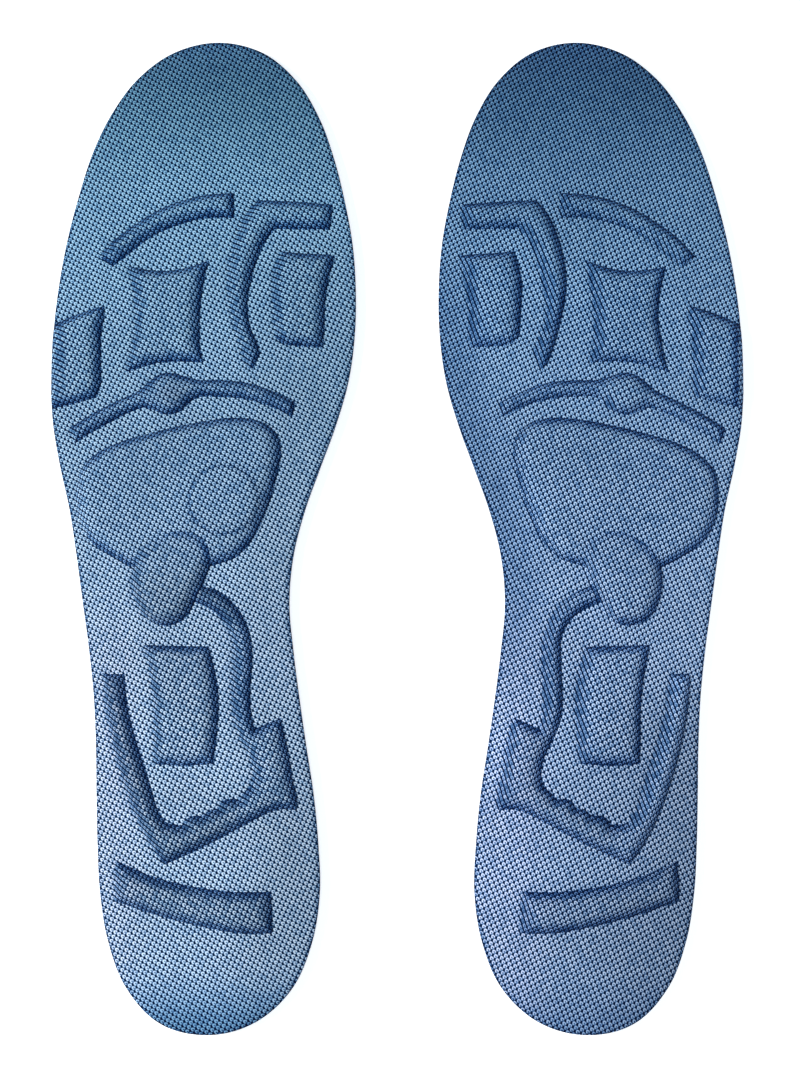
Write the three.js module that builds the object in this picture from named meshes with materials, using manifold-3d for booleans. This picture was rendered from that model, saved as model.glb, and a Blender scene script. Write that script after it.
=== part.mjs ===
// Pair of cushioned insoles, left and right, lying flat side by side.
// Units are millimetres, +Z up, +Y towards the toes, +X towards the right insole.
// The origin is at floor level, midway between the two insoles and midway along them.
//
// Each insole is a laminate: a thin backing cloth, a flat foam base board, eleven
// raised foam pads glued on the board, and a stretch mesh cover pulled over them.
// The board, the backing and the cover are divided along the line where the foot
// bends, so that the forefoot can turn up about the ball of the foot.
import * as THREE from 'three';
import { mergeVertices } from 'three/addons/utils/BufferGeometryUtils.js';
import Module from 'manifold-3d';

const wasm = await Module();
wasm.setup();

// ---- driving dimensions (mm) ----
const HALF_SPACING = 52.2;      // insole's own centre line to the middle of the pair
const Y_SHIFT = -5.75;          // puts the middle of the length on Y = 0
const BACKING_TOP = 0.5;        // backing cloth, from the floor up
const BASE_TOP = 3.6;           // foam base board
const COVER_TOP = 4.4;          // mesh cover where it lies on the board
const PAD_TOP = 6.0;            // raised foam pads
const BUTTON_RISE = 0.8;        // the midfoot button stands this much above the rest
const POCKET_CLEARANCE = 0.05;  // cover above a pad
const RELIEF_RISE = 0.85;       // cover's outer face above a pad
const RELIEF_INSET = 0.4;       // cover's raised outline inside the foot of its wall
const POCKET_INSET = 1.2;       // pocket under the cover
const PAD_INSET = 1.5;          // pad inside its pocket
const FLEX_GAP = 0.2;           // half the gap at the flex line, along Y
const OUTLINE_POINTS = 96;

// ---- outline of the left insole, clockwise from the toe ----
const OUTLINE = [
  [2.7, 139.0], [14.8, 136.0], [24.2, 127.9], [30.6, 117.1], [34.8, 105.3], [37.8, 93.1],
  [40.0, 80.7], [40.9, 68.2], [40.7, 55.6], [39.1, 43.2], [35.8, 31.1], [31.6, 19.2],
  [27.5, 7.3], [24.6, -4.9], [23.7, -17.4], [24.9, -29.9], [26.6, -42.4], [28.5, -54.8],
  [30.5, -67.2], [31.8, -79.7], [32.3, -92.2], [30.4, -104.6], [25.4, -116.1], [16.1, -124.4],
  [4.1, -127.5], [-8.0, -124.7], [-16.8, -115.9], [-21.7, -104.4], [-24.1, -92.1], [-25.1, -79.6],
  [-25.7, -67.0], [-26.2, -54.4], [-27.1, -41.9], [-28.7, -29.4], [-30.7, -17.0], [-32.7, -4.6],
  [-34.9, 7.7], [-37.9, 20.0], [-40.2, 32.3], [-40.8, 44.8], [-40.6, 57.4], [-39.5, 69.9],
  [-37.6, 82.4], [-34.9, 94.6], [-31.5, 106.7], [-26.5, 118.2], [-19.4, 128.5], [-9.5, 136.1],
];

// ---- raised zones of the left insole: outline at the foot of each wall ----
const ZONES = {
  toe_arc_pad: [
    [-28.7, 77.0], [-24.4, 81.9], [-18.8, 86.2], [-13.0, 89.9], [-5.6, 93.0], [1.5, 94.5],
    [7.6, 94.9], [7.8, 87.8], [1.8, 87.9], [-4.6, 86.7], [-11.1, 84.3], [-16.8, 80.9],
    [-21.5, 77.0], [-25.1, 74.2],
  ],
  toe_hook_pad: [
    [14.2, 92.8], [24.0, 92.5], [34.6, 91.9], [33.9, 84.8], [26.0, 84.8], [19.0, 84.8],
    [16.0, 80.6], [14.2, 76.0], [12.9, 71.0], [12.0, 66.5], [11.9, 61.2], [12.7, 56.9],
    [14.3, 53.3], [15.4, 50.0], [13.2, 45.5], [11.9, 47.2], [10.2, 51.3], [8.6, 57.0],
    [7.0, 64.2], [6.4, 70.2], [7.3, 77.8], [9.2, 84.6], [11.5, 89.4],
  ],
  first_ray_pad: [
    [20.6, 78.5], [26.0, 77.9], [31.0, 77.7], [35.3, 77.4], [34.0, 72.5], [33.0, 66.8],
    [32.6, 61.0], [32.5, 55.8], [32.2, 51.8], [26.4, 52.0], [21.5, 52.8], [19.3, 54.6],
    [18.8, 62.5], [18.5, 69.5], [19.3, 74.5],
  ],
  center_forefoot_pad: [
    [-20.6, 74.2], [-16.2, 73.3], [-9.7, 72.9], [-4.2, 73.9], [1.2, 75.8], [0.2, 71.5],
    [-0.5, 67.0], [-1.0, 61.5], [-1.0, 57.0], [-0.8, 51.5], [0.2, 47.5], [-5.6, 47.7],
    [-12.0, 47.3], [-16.2, 46.2], [-20.6, 44.8], [-19.7, 48.5], [-19.0, 53.0], [-18.2, 60.6],
    [-18.9, 67.2],
  ],
  lateral_forefoot_pad: [
    [-39.3, 58.6], [-32.2, 61.6], [-27.0, 63.2], [-26.8, 61.5], [-27.5, 55.5], [-27.4, 48.0],
    [-27.6, 40.0], [-28.3, 38.0], [-32.2, 36.9], [-38.8, 35.4], [-39.3, 45.0],
  ],
  metatarsal_bar_pad: [
    [-35.6, 29.5], [-29.8, 33.2], [-22.6, 36.9], [-16.6, 40.0], [-13.4, 42.9], [-11.2, 44.2],
    [-9.0, 44.6], [-5.4, 43.8], [-2.2, 42.8], [5.0, 42.5], [12.8, 41.6], [20.0, 39.0],
    [24.8, 36.6], [24.2, 32.6], [18.6, 35.3], [11.1, 37.4], [4.6, 38.0], [-1.2, 37.8],
    [-3.4, 36.4], [-5.3, 34.3], [-7.5, 33.4], [-9.8, 33.2], [-12.5, 34.2], [-15.1, 35.0],
    [-19.6, 33.6], [-25.2, 30.7], [-30.0, 28.0], [-34.0, 25.4],
  ],
  metatarsal_dome_pad: [
    [-32.3, 17.8], [-28.3, 22.3], [-21.8, 25.6], [-14.0, 27.9], [-6.3, 29.9], [1.3, 31.4],
    [8.0, 32.2], [13.4, 31.9], [17.6, 30.3], [20.2, 27.6], [21.2, 23.6], [20.3, 17.2],
    [18.6, 10.4], [16.4, 4.3], [13.1, -1.7], [9.2, -5.6], [4.7, -7.2], [0.0, -8.4],
    [-8.0, -9.5], [-17.6, -7.8], [-24.3, -4.4], [-29.3, -0.5], [-32.2, 4.7], [-33.2, 11.0],
    [-33.1, 14.5],
  ],
  midfoot_button_pad: [
    [-13.8, -3.1], [-10.6, -0.7], [-7.0, 0.9], [-3.6, 1.1], [-0.4, 0.2], [2.0, -2.0],
    [3.0, -6.2], [1.9, -10.6], [0.4, -14.2], [-1.1, -17.2], [-2.6, -20.3], [-4.9, -22.5],
    [-8.0, -23.4], [-11.7, -22.7], [-14.8, -20.4], [-16.7, -16.8], [-17.5, -12.5],
    [-17.3, -8.5], [-16.0, -5.6],
  ],
  arch_heel_frame_pad: [
    [-1.0, -12.6], [4.4, -14.1], [9.1, -17.5], [12.2, -22.1], [13.9, -27.1], [14.3, -32.8],
    [13.9, -40.0], [14.2, -46.0], [15.2, -50.5], [18.4, -48.9], [21.8, -47.5], [23.0, -52.0],
    [24.2, -57.5], [25.1, -63.0], [26.4, -69.9], [26.2, -71.1], [21.0, -71.1], [14.9, -73.9],
    [7.8, -77.7], [0.9, -81.2], [-4.0, -83.4], [-7.4, -84.9], [-9.2, -82.9], [-12.2, -78.6],
    [-16.3, -70.3], [-19.7, -61.2], [-22.4, -51.4], [-23.9, -43.2], [-24.5, -36.0],
    [-19.1, -36.1], [-18.2, -43.5], [-16.0, -52.0], [-13.3, -60.0], [-11.1, -66.5],
    [-9.6, -71.0], [-7.4, -74.3], [-5.4, -75.9], [-3.6, -75.1], [-1.2, -73.6], [1.8, -73.0],
    [4.6, -71.6], [7.4, -70.0], [10.2, -69.3], [13.0, -67.7], [15.0, -65.2], [14.9, -62.0],
    [14.2, -58.3], [12.2, -54.0], [10.2, -49.5], [9.2, -45.0], [9.1, -40.0], [9.3, -33.0],
    [8.9, -25.8], [6.7, -22.1], [3.0, -19.0], [-1.8, -16.9],
  ],
  heel_center_pad: [
    [-14.0, -28.5], [-5.2, -28.8], [3.0, -29.0], [4.5, -35.0], [5.5, -40.5], [5.7, -46.9],
    [5.3, -53.0], [4.5, -59.3], [-2.7, -59.8], [-10.6, -59.4], [-11.0, -52.0], [-11.2, -45.0],
    [-12.2, -37.0],
  ],
  heel_crescent_pad: [
    [-19.8, -84.1], [-13.1, -87.0], [-6.1, -89.2], [1.7, -90.8], [10.1, -91.8], [19.9, -91.9],
    [20.2, -97.0], [20.4, -102.2], [12.7, -102.2], [4.7, -101.0], [-3.7, -99.1],
    [-11.5, -97.0], [-20.0, -94.1], [-20.2, -89.3],
  ],
};

// line across the ball of the foot, in the channel between the bar and the dome
const FLEX_LINE = [
  [-70, 13.0], [-37.0, 20.8], [-31.0, 24.6], [-24.0, 27.8], [-16.0, 30.4], [-9.8, 31.3],
  [-4.0, 32.4], [1.0, 34.6], [7.0, 35.2], [13.0, 34.5], [19.0, 32.2], [24.0, 29.4],
  [31.0, 25.5], [70, 13.0],
];

// ---- plane geometry ----
// signed distance from (x, y) to a closed polygon, positive inside
function signedDistance(points, x, y) {
  let best = Infinity;
  let inside = false;
  for (let i = 0, j = points.length - 1; i < points.length; j = i++) {
    const [ax, ay] = points[j];
    const [bx, by] = points[i];
    const ex = bx - ax;
    const ey = by - ay;
    const t = Math.max(0, Math.min(1, ((x - ax) * ex + (y - ay) * ey) / (ex * ex + ey * ey)));
    best = Math.min(best, Math.hypot(x - ax - t * ex, y - ay - t * ey));
    if ((ay > y) !== (by > y) && x < ((bx - ax) * (y - ay)) / (by - ay) + ax) inside = !inside;
  }
  return inside ? best : -best;
}

// drops the points that lie within tol of the line between their neighbours
function simplify(points, tol) {
  const keep = new Array(points.length).fill(false);
  const far = points.reduce((best, p, i) => {
    const d = Math.hypot(p[0] - points[0][0], p[1] - points[0][1]);
    return d > best[1] ? [i, d] : best;
  }, [0, -1])[0];
  const walk = (a, b) => {
    keep[a % points.length] = true;
    const [ax, ay] = points[a];
    const [bx, by] = points[b % points.length];
    const len = Math.hypot(bx - ax, by - ay) || 1;
    let worst = -1;
    let at = -1;
    for (let i = a + 1; i < b; i++) {
      const [px, py] = points[i];
      const d = Math.abs((bx - ax) * (ay - py) - (ax - px) * (by - ay)) / len;
      if (d > worst) { worst = d; at = i; }
    }
    if (worst > tol) { walk(a, at); walk(at, b); }
  };
  walk(0, far);
  walk(far, points.length);
  return points.filter((_, i) => keep[i]);
}

// outline moved inwards by d, traced on a fine grid of signed distances
function inset(points, d, step = 0.4, tol = 0.1) {
  const xs = points.map((p) => p[0]);
  const ys = points.map((p) => p[1]);
  const x0 = Math.min(...xs) - 1.03;
  const y0 = Math.min(...ys) - 1.07;
  const nx = Math.ceil((Math.max(...xs) + 1 - x0) / step) + 1;
  const ny = Math.ceil((Math.max(...ys) + 1 - y0) / step) + 1;
  const f = [];
  for (let j = 0; j < ny; j++) {
    for (let i = 0; i < nx; i++) f.push(signedDistance(points, x0 + i * step, y0 + j * step) - d);
  }
  const value = (i, j) => f[j * nx + i];
  const crossing = (i, j, k, l) => {
    const a = value(i, j);
    const t = a / (a - value(k, l));
    return [x0 + (i + t * (k - i)) * step, y0 + (j + t * (l - j)) * step];
  };
  // each cell's inside region is walked with the inside on the left
  const next = new Map();
  const key = (i, j, k, l) => (i < k || j < l ? `${i},${j},${k},${l}` : `${k},${l},${i},${j}`);
  for (let j = 0; j < ny - 1; j++) {
    for (let i = 0; i < nx - 1; i++) {
      const ring = [[i, j], [i + 1, j], [i + 1, j + 1], [i, j + 1]];
      const leave = [];
      const enter = [];
      for (let e = 0; e < 4; e++) {
        const [a, b] = ring[e];
        const [c, g] = ring[(e + 1) % 4];
        const va = value(a, b) > 0;
        const vc = value(c, g) > 0;
        if (va && !vc) leave.push([a, b, c, g]);
        if (!va && vc) enter.push([a, b, c, g]);
      }
      leave.forEach((from, n) => {
        const to = enter[n % enter.length];
        next.set(key(...from), { to: key(...to), at: crossing(...from) });
      });
    }
  }
  const loops = [];
  while (next.size) {
    const loop = [];
    let k = next.keys().next().value;
    while (next.has(k)) {
      const { to, at } = next.get(k);
      next.delete(k);
      loop.push(at);
      k = to;
    }
    loops.push(loop);
  }
  const area = (p) => Math.abs(THREE.ShapeUtils.area(p.map(([x, y]) => new THREE.Vector2(x, y))));
  loops.sort((a, b) => area(b) - area(a));
  return simplify(loops[0], tol);
}

// ---- solids ----
// side is -1 for the left insole and +1 for the right, which is its mirror image
function prism(points, z0, z1, side) {
  const placed = points.map(([x, y]) => new THREE.Vector2(-side * (x - HALF_SPACING), y + Y_SHIFT));
  const geometry = new THREE.ExtrudeGeometry(new THREE.Shape(placed), {
    depth: z1 - z0, steps: 1, bevelEnabled: false,
  });
  geometry.translate(0, 0, z0);
  return geometry;
}

function toSolid(geometry) {
  const g = geometry.clone();
  g.deleteAttribute('normal');
  g.deleteAttribute('uv');
  const merged = mergeVertices(g, 1e-5);
  return new wasm.Manifold(new wasm.Mesh({
    numProp: 3,
    vertProperties: new Float32Array(merged.attributes.position.array),
    triVerts: new Uint32Array(merged.index.array),
  }));
}

function toGeometry(solid) {
  const mesh = solid.getMesh();
  const geometry = new THREE.BufferGeometry();
  geometry.setAttribute('position', new THREE.BufferAttribute(new Float32Array(mesh.vertProperties), 3));
  geometry.setIndex(new THREE.BufferAttribute(new Uint32Array(mesh.triVerts), 1));
  geometry.computeVertexNormals();
  return geometry;
}

// ---- materials ----
const meshCloth = new THREE.MeshStandardMaterial({ color: 0x5f8fc4, roughness: 0.9, metalness: 0 });
const boardFoam = new THREE.MeshStandardMaterial({ color: 0x4a6f9a, roughness: 0.85, metalness: 0 });
const padFoam = new THREE.MeshStandardMaterial({ color: 0x7f9cc0, roughness: 0.8, metalness: 0 });
const backingCloth = new THREE.MeshStandardMaterial({ color: 0x23334a, roughness: 0.95, metalness: 0 });

// ---- build ----
const outlineCurve = new THREE.CatmullRomCurve3(
  OUTLINE.map(([x, y]) => new THREE.Vector3(x, y, 0)), true, 'centripetal',
);
const outline = outlineCurve.getSpacedPoints(OUTLINE_POINTS).slice(0, -1).map((p) => [p.x, p.y]);

const BUTTON = 'midfoot_button_pad';
const REAR_PADS = [
  'metatarsal_dome_pad', BUTTON, 'arch_heel_frame_pad', 'heel_center_pad', 'heel_crescent_pad',
];
const padTop = (name) => PAD_TOP + (name === BUTTON ? BUTTON_RISE : 0);
const reliefOutlines = {};
const pocketOutlines = {};
const padOutlines = {};
for (const [name, zone] of Object.entries(ZONES)) {
  reliefOutlines[name] = inset(zone, RELIEF_INSET);
  pocketOutlines[name] = inset(zone, POCKET_INSET);
  padOutlines[name] = inset(zone, PAD_INSET);
}

const rearLine = FLEX_LINE.map(([x, y]) => [x, y - FLEX_GAP]);
const foreLine = FLEX_LINE.map(([x, y]) => [x, y + FLEX_GAP]);
const rearHalf = [[-70, -160], [70, -160], ...rearLine.slice().reverse()];
const foreHalf = [...foreLine, [70, 160], [-70, 160]];

function addInsole(group, label, side) {
  const rearCut = toSolid(prism(rearHalf, -5, 20, side));
  const foreCut = toSolid(prism(foreHalf, -5, 20, side));
  const add = (name, geometry, material) => {
    const mesh = new THREE.Mesh(geometry, material);
    mesh.name = `${label}_${name}`;
    group.add(mesh);
  };
  const addDivided = (name, solid, material) => {
    add(`${name}_rear`, toGeometry(solid.intersect(rearCut)), material);
    add(`${name}_fore`, toGeometry(solid.intersect(foreCut)), material);
  };

  addDivided('backing', toSolid(prism(outline, 0, BACKING_TOP, side)), backingCloth);
  addDivided('foam_base', toSolid(prism(outline, BACKING_TOP, BASE_TOP, side)), boardFoam);

  // the cover is a flat sheet with hollow raised zones, one over each pad
  let cover = toSolid(prism(outline, BASE_TOP, COVER_TOP, side));
  for (const name of Object.keys(ZONES)) {
    cover = cover.add(toSolid(prism(reliefOutlines[name], BASE_TOP + 0.1, padTop(name) + RELIEF_RISE, side)));
  }
  for (const name of Object.keys(ZONES)) {
    cover = cover.subtract(toSolid(prism(pocketOutlines[name], BASE_TOP - 1, padTop(name) + POCKET_CLEARANCE, side)));
  }
  addDivided('top_cover', cover, meshCloth);

  // the dome and the arch frame are notched round the button, which sits between them
  const notch = toSolid(prism(pocketOutlines[BUTTON], 0, 20, side));
  for (const name of Object.keys(ZONES)) {
    const blank = prism(padOutlines[name], BASE_TOP, padTop(name), side);
    const notched = name === 'metatarsal_dome_pad' || name === 'arch_heel_frame_pad';
    add(name, toGeometry(notched ? toSolid(blank).subtract(notch) : toSolid(blank)), padFoam);
  }
}

const pair = new THREE.Group();
pair.name = 'insole_pair';
addInsole(pair, 'left', -1);
addInsole(pair, 'right', 1);

export default pair;
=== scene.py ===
import math

import bpy
import numpy as np
from mathutils import Matrix, Vector
from mathutils.geometry import delaunay_2d_cdt


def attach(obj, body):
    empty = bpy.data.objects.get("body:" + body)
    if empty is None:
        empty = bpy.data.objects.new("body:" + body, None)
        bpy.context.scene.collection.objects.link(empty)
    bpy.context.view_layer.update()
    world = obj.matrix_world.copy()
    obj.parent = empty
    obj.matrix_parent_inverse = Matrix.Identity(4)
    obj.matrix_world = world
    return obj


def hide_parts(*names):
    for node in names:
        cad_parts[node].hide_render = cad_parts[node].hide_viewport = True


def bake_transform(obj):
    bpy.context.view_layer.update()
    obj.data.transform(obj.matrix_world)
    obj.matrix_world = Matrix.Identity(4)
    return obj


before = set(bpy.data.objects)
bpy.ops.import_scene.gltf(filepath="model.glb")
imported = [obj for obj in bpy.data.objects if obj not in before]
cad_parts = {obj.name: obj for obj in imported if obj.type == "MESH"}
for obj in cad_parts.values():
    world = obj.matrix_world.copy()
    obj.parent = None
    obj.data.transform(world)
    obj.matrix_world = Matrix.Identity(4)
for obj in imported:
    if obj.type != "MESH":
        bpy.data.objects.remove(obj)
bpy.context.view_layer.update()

MM = 0.001

# ---------------------------------------------------------------- sizes (mm), as in part.mjs
HALF_SPACING = 52.2
Y_SHIFT = -5.75
BACKING_TOP = 0.5
BASE_TOP = 3.6
COVER = 0.8
RISE = 2.45            # relief of the cover over a pad
CROWN = 0.42           # a pad's middle stands this much higher than its shoulders
BUTTON_RISE = 0.8      # the button stands this much higher
WALL = 3.7             # plan width of the rounded wall, from its foot to the flat top
GROOVE = 0.12          # depth of the pinched line round each pad
FLEX_Y = 24.5          # the hinge line

OUTLINE = [
    (2.7, 139.0), (14.8, 136.0), (24.2, 127.9), (30.6, 117.1), (34.8, 105.3), (37.8, 93.1),
    (40.0, 80.7), (40.9, 68.2), (40.7, 55.6), (39.1, 43.2), (35.8, 31.1), (31.6, 19.2),
    (27.5, 7.3), (24.6, -4.9), (23.7, -17.4), (24.9, -29.9), (26.6, -42.4), (28.5, -54.8),
    (30.5, -67.2), (31.8, -79.7), (32.3, -92.2), (30.4, -104.6), (25.4, -116.1), (16.1, -124.4),
    (4.1, -127.5), (-8.0, -124.7), (-16.8, -115.9), (-21.7, -104.4), (-24.1, -92.1), (-25.1, -79.6),
    (-25.7, -67.0), (-26.2, -54.4), (-27.1, -41.9), (-28.7, -29.4), (-30.7, -17.0), (-32.7, -4.6),
    (-34.9, 7.7), (-37.9, 20.0), (-40.2, 32.3), (-40.8, 44.8), (-40.6, 57.4), (-39.5, 69.9),
    (-37.6, 82.4), (-34.9, 94.6), (-31.5, 106.7), (-26.5, 118.2), (-19.4, 128.5), (-9.5, 136.1),
]

ZONES = {
    "toe_arc_pad": [
        (-28.7, 77.0), (-24.4, 81.9), (-18.8, 86.2), (-13.0, 89.9), (-5.6, 93.0), (1.5, 94.5),
        (7.6, 94.9), (7.8, 87.8), (1.8, 87.9), (-4.6, 86.7), (-11.1, 84.3), (-16.8, 80.9),
        (-21.5, 77.0), (-25.1, 74.2)],
    "toe_hook_pad": [
        (14.2, 92.8), (24.0, 92.5), (34.6, 91.9), (33.9, 84.8), (26.0, 84.8), (19.0, 84.8),
        (16.0, 80.6), (14.2, 76.0), (12.9, 71.0), (12.0, 66.5), (11.9, 61.2), (12.7, 56.9),
        (14.3, 53.3), (15.4, 50.0), (13.2, 45.5), (11.9, 47.2), (10.2, 51.3), (8.6, 57.0),
        (7.0, 64.2), (6.4, 70.2), (7.3, 77.8), (9.2, 84.6), (11.5, 89.4)],
    "first_ray_pad": [
        (20.6, 78.5), (26.0, 77.9), (31.0, 77.7), (35.3, 77.4), (34.0, 72.5), (33.0, 66.8),
        (32.6, 61.0), (32.5, 55.8), (32.2, 51.8), (26.4, 52.0), (21.5, 52.8), (19.3, 54.6),
        (18.8, 62.5), (18.5, 69.5), (19.3, 74.5)],
    "center_forefoot_pad": [
        (-20.6, 74.2), (-16.2, 73.3), (-9.7, 72.9), (-4.2, 73.9), (1.2, 75.8), (0.2, 71.5),
        (-0.5, 67.0), (-1.0, 61.5), (-1.0, 57.0), (-0.8, 51.5), (0.2, 47.5), (-5.6, 47.7),
        (-12.0, 47.3), (-16.2, 46.2), (-20.6, 44.8), (-19.7, 48.5), (-19.0, 53.0), (-18.2, 60.6),
        (-18.9, 67.2)],
    "lateral_forefoot_pad": [
        (-39.3, 58.6), (-32.2, 61.6), (-27.0, 63.2), (-26.8, 61.5), (-27.5, 55.5), (-27.4, 48.0),
        (-27.6, 40.0), (-28.3, 38.0), (-32.2, 36.9), (-38.8, 35.4), (-39.3, 45.0)],
    "metatarsal_bar_pad": [
        (-35.6, 29.5), (-29.8, 33.2), (-22.6, 36.9), (-16.6, 40.0), (-13.4, 42.9), (-11.2, 44.2),
        (-9.0, 44.6), (-5.4, 43.8), (-2.2, 42.8), (5.0, 42.5), (12.8, 41.6), (20.0, 39.0),
        (24.8, 36.6), (24.2, 32.6), (18.6, 35.3), (11.1, 37.4), (4.6, 38.0), (-1.2, 37.8),
        (-3.4, 36.4), (-5.3, 34.3), (-7.5, 33.4), (-9.8, 33.2), (-12.5, 34.2), (-15.1, 35.0),
        (-19.6, 33.6), (-25.2, 30.7), (-30.0, 28.0), (-34.0, 25.4)],
    "arch_heel_frame_pad": [
        (-1.0, -12.6), (4.4, -14.1), (9.1, -17.5), (12.2, -22.1), (13.9, -27.1), (14.3, -32.8),
        (13.9, -40.0), (14.2, -46.0), (15.2, -50.5), (18.4, -48.9), (21.8, -47.5), (23.0, -52.0),
        (24.2, -57.5), (25.1, -63.0), (26.4, -69.9), (26.2, -71.1), (21.0, -71.1), (14.9, -73.9),
        (7.8, -77.7), (0.9, -81.2), (-4.0, -83.4), (-7.4, -84.9), (-9.2, -82.9), (-12.2, -78.6),
        (-16.3, -70.3), (-19.7, -61.2), (-22.4, -51.4), (-23.9, -43.2), (-24.5, -36.0),
        (-19.1, -36.1), (-18.2, -43.5), (-16.0, -52.0), (-13.3, -60.0), (-11.1, -66.5),
        (-9.6, -71.0), (-7.4, -74.4), (-5.3, -74.8), (-2.9, -75.0), (-1.7, -73.2), (-0.1, -72.6),
        (2.1, -72.5), (3.8, -71.1), (6.0, -70.8), (7.1, -69.0), (9.0, -68.3), (11.3, -68.5),
        (12.5, -66.7), (14.3, -65.1), (14.9, -62.0),
        (14.2, -58.3), (12.2, -54.0), (10.2, -49.5), (9.2, -45.0), (9.1, -40.0), (9.3, -33.0),
        (8.9, -25.8), (6.7, -22.1), (3.0, -19.0), (-1.8, -16.9)],
    "heel_center_pad": [
        (-14.0, -28.5), (-5.2, -28.8), (3.0, -29.0), (4.5, -35.0), (5.5, -40.5), (5.7, -46.9),
        (5.3, -53.0), (4.5, -59.3), (-2.7, -59.8), (-10.6, -59.4), (-11.0, -52.0), (-11.2, -45.0),
        (-12.2, -37.0)],
    "heel_crescent_pad": [
        (-19.8, -84.1), (-13.1, -87.0), (-6.1, -89.2), (1.7, -90.8), (10.1, -91.8), (19.9, -91.9),
        (20.2, -97.0), (20.4, -102.2), (12.7, -102.2), (4.7, -101.0), (-3.7, -99.1),
        (-11.5, -97.0), (-20.0, -94.1), (-20.2, -89.3)],
    "metatarsal_dome_pad": [
        (-32.3, 17.8), (-28.3, 22.3), (-21.8, 25.6), (-14.0, 27.9), (-6.3, 29.9), (1.3, 31.4),
        (8.0, 32.2), (13.4, 31.9), (17.6, 30.3), (20.2, 27.6), (21.2, 23.6), (20.3, 17.2),
        (18.6, 10.4), (16.4, 4.3), (13.1, -1.7), (9.2, -5.6), (4.7, -7.2), (0.0, -8.4),
        (-8.0, -9.5), (-17.6, -7.8), (-24.3, -4.4), (-29.3, -0.5), (-32.2, 4.7), (-33.2, 11.0),
        (-33.1, 14.5)],
    "midfoot_button_pad": [
        (-13.8, -3.1), (-10.6, -0.7), (-7.0, 0.9), (-3.6, 1.1), (-0.4, 0.2), (2.0, -2.0),
        (3.0, -6.2), (1.9, -10.6), (0.4, -14.2), (-1.1, -17.2), (-2.6, -20.3), (-4.9, -22.5),
        (-8.0, -23.4), (-11.7, -22.7), (-14.8, -20.4), (-16.7, -16.8), (-17.5, -12.5),
        (-17.3, -8.5), (-16.0, -5.6)],
}
BUTTON = "midfoot_button_pad"
DOME = "metatarsal_dome_pad"
FRAME_PAD = "arch_heel_frame_pad"
REAR_PADS = (DOME, BUTTON, FRAME_PAD, "heel_center_pad", "heel_crescent_pad")


# ---------------------------------------------------------------- plane curves
def smooth_closed(points, spacing=0.5, corner=43.0):
    """Closed curve through the points, smooth except where the polyline turns by more than corner degrees."""
    p = np.array(points, float)
    n = len(p)
    prev, nxt = np.roll(p, 1, 0), np.roll(p, -1, 0)
    a, b = p - prev, nxt - p
    la, lb = np.linalg.norm(a, axis=1), np.linalg.norm(b, axis=1)
    turn = np.degrees(np.arccos(np.clip((a * b).sum(1) / (la * lb), -1, 1)))
    sharp = turn > corner
    # tangent weighted towards the shorter side, as a centripetal curve has it
    soft = (a / la[:, None] * lb[:, None] + b / lb[:, None] * la[:, None]) / (la + lb)[:, None]
    soft /= np.linalg.norm(soft, axis=1)[:, None]
    out = []
    for i in range(n):
        j = (i + 1) % n
        length = lb[i]
        chord = b[i] / length
        t0 = chord if sharp[i] else soft[i]
        t1 = chord if sharp[j] else soft[j]
        steps = max(1, int(round(length / spacing)))
        u = (np.arange(steps) / steps)[:, None]
        h00, h10 = 2 * u**3 - 3 * u**2 + 1, u**3 - 2 * u**2 + u
        h01, h11 = -2 * u**3 + 3 * u**2, u**3 - u**2
        out.append(h00 * p[i] + h10 * length * t0 + h01 * p[j] + h11 * length * t1)
    return np.vstack(out)


def signed_distance(poly, q, chunk=48):
    """Distance from each point of q to the closed polygon, positive inside."""
    q = np.asarray(q, np.float32)
    a = poly.astype(np.float32)
    b = np.roll(a, -1, 0)
    best = np.full(len(q), np.inf, np.float32)
    inside = np.zeros(len(q), bool)
    x, y = q[:, 0:1], q[:, 1:2]
    for s in range(0, len(a), chunk):
        ax, ay, bx, by = a[s:s + chunk, 0], a[s:s + chunk, 1], b[s:s + chunk, 0], b[s:s + chunk, 1]
        ex, ey = bx - ax, by - ay
        ll = ex * ex + ey * ey + 1e-12
        wx, wy = x - ax, y - ay
        t = np.clip((wx * ex + wy * ey) / ll, 0, 1)
        d = (wx - t * ex) ** 2 + (wy - t * ey) ** 2
        best = np.minimum(best, d.min(1))
        cross = ((ay > y) != (by > y)) & (x < ex * (y - ay) / np.where(ey == 0, 1e-12, ey) + ax)
        inside ^= (cross.sum(1) % 2).astype(bool)
    best = np.sqrt(best)
    return np.where(inside, best, -best)


def resample(loop, spacing):
    closed = np.vstack([loop, loop[:1]])
    s = np.r_[0, np.cumsum(np.linalg.norm(np.diff(closed, axis=0), axis=1))]
    n = max(8, int(round(s[-1] / spacing)))
    t = np.linspace(0, s[-1], n, endpoint=False)
    return np.c_[np.interp(t, s, closed[:, 0]), np.interp(t, s, closed[:, 1])]


def counter_clockwise(loop):
    x, y = loop[:, 0], loop[:, 1]
    area = (x * np.roll(y, -1) - np.roll(x, -1) * y).sum() / 2
    return loop if area > 0 else loop[::-1].copy()


def offset_loop(loop, d):
    """The counter-clockwise loop moved inwards by a small distance."""
    t = np.roll(loop, -1, 0) - np.roll(loop, 1, 0)
    t /= np.linalg.norm(t, axis=1)[:, None]
    return loop + d * np.c_[-t[:, 1], t[:, 0]]


def smoothstep(a, b, x):
    t = np.clip((x - a) / (b - a), 0, 1)
    return t * t * (3 - 2 * t)


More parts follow.
